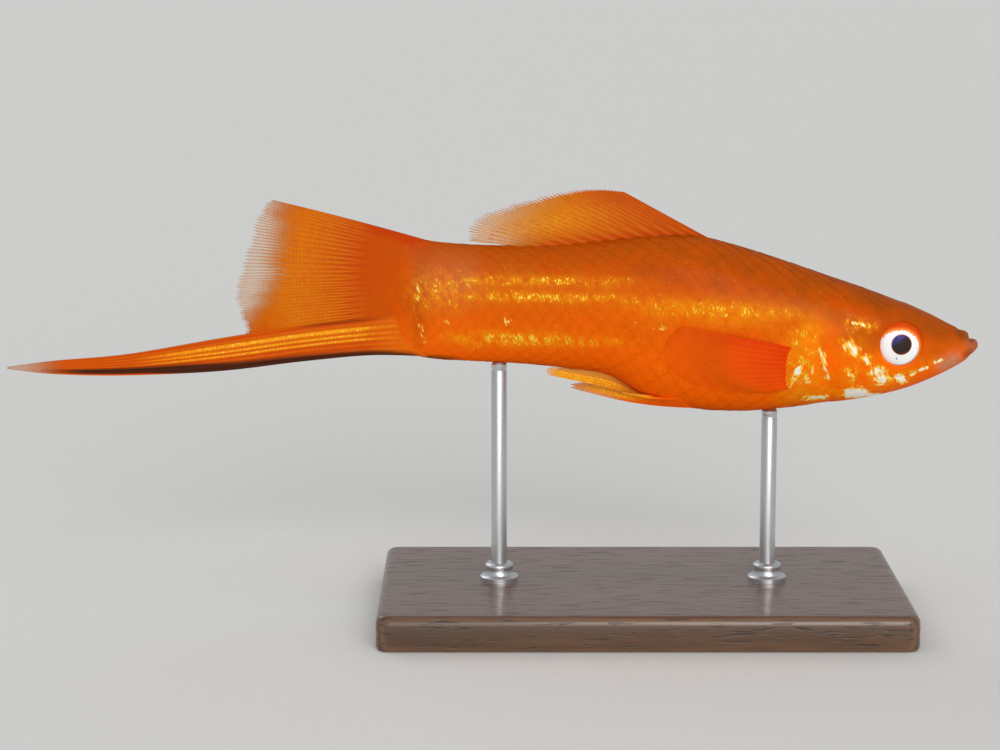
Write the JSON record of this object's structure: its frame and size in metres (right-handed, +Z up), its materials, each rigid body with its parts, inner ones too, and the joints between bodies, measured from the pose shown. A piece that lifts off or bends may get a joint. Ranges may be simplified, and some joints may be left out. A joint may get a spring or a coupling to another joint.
{
  "type": "male swordtail fish model",
  "caption": "Life-size still model of a red male swordtail, an aquarium fish with a long sword-like lower tail lobe, on a flat two-rod display stand.",
  "frame": {"origin": "bottom centre of the bounding box: on the surface that the stand rests on, half way between the jaw tip and the sword tip, in the middle plane of the fish", "axes": "+X along the body towards the head, +Z up towards the back, -Y towards the right flank that the picture shows"},
  "size_m": [0.1105, 0.034, 0.0493],
  "materials": {
    "skin": "wet scaled skin, orange-red with gold and white glints",
    "fin": "translucent orange fin membrane with rays",
    "sword": "orange and gold fin rays with a black lower edge",
    "eye": "glossy, silver-white iris round a black pupil",
    "stand_wood": "dark stained, satin",
    "stand_steel": "brushed"
  },
  "bodies": {
    "root": {"head": "skin", "lower_jaw": "skin", "gill_cover_left": "skin", "gill_cover_right": "skin", "torso": "skin", "tail_stem": "skin", "eye_left": "eye", "eye_right": "eye", "dorsal_fin": "fin", "caudal_fin": "fin", "sword": "sword", "gonopodium": "fin", "pectoral_fin_left": "fin", "pectoral_fin_right": "fin", "pelvic_fin_left": "fin", "pelvic_fin_right": "fin", "stand_base": "stand_wood", "stand_rod_front": "stand_steel", "stand_rod_rear": "stand_steel", "stand_ferrule_front": "stand_steel", "stand_ferrule_rear": "stand_steel"}
  },
  "joints": []
}
